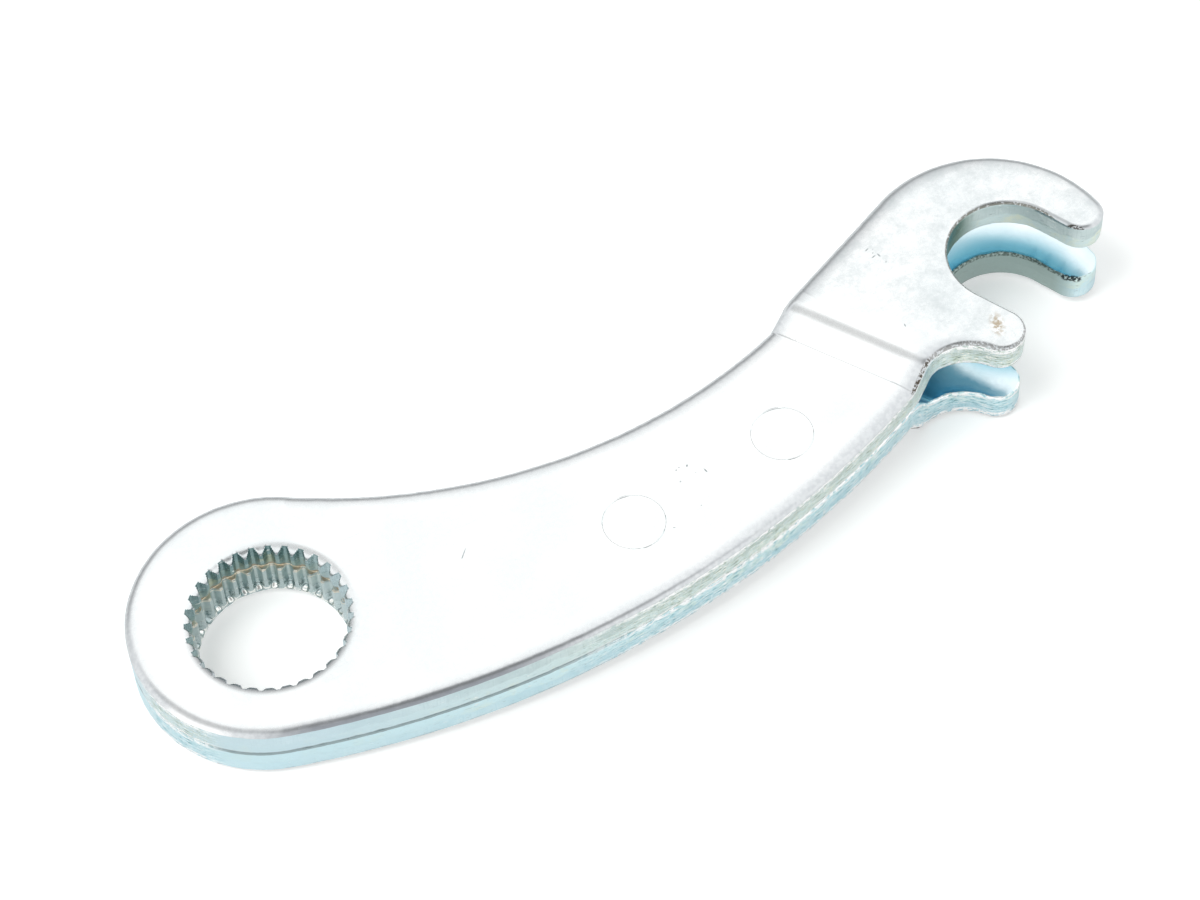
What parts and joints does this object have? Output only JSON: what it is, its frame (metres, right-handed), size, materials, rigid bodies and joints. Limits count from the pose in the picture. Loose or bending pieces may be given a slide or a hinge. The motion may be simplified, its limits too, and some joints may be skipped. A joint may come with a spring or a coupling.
{
  "type": "brake lever",
  "caption": "Two-plate drum brake lever: serrated eye for the camshaft, curved riveted arm, and a forked open crook that carries the brake cable's trunnion.",
  "frame": {"origin": "centre of the serrated bore, on the camshaft axis, midway through the two plates", "axes": "+Z along the bore axis, +X from the bore through the middle of the crook, +Y across the arm towards the crook's long prong"},
  "size_m": [0.1087, 0.0314, 0.012],
  "materials": {
    "plate_steel": "bright zinc plate over rolled steel, blue passivated, sheared edges matt and blue-green",
    "rivet_steel": "bright zinc plate over steel, set flush"
  },
  "bodies": {
    "root": {"upper_plate": "plate_steel", "lower_plate": "plate_steel", "rivet_near_eye": "rivet_steel", "rivet_near_fork": "rivet_steel"}
  },
  "joints": []
}
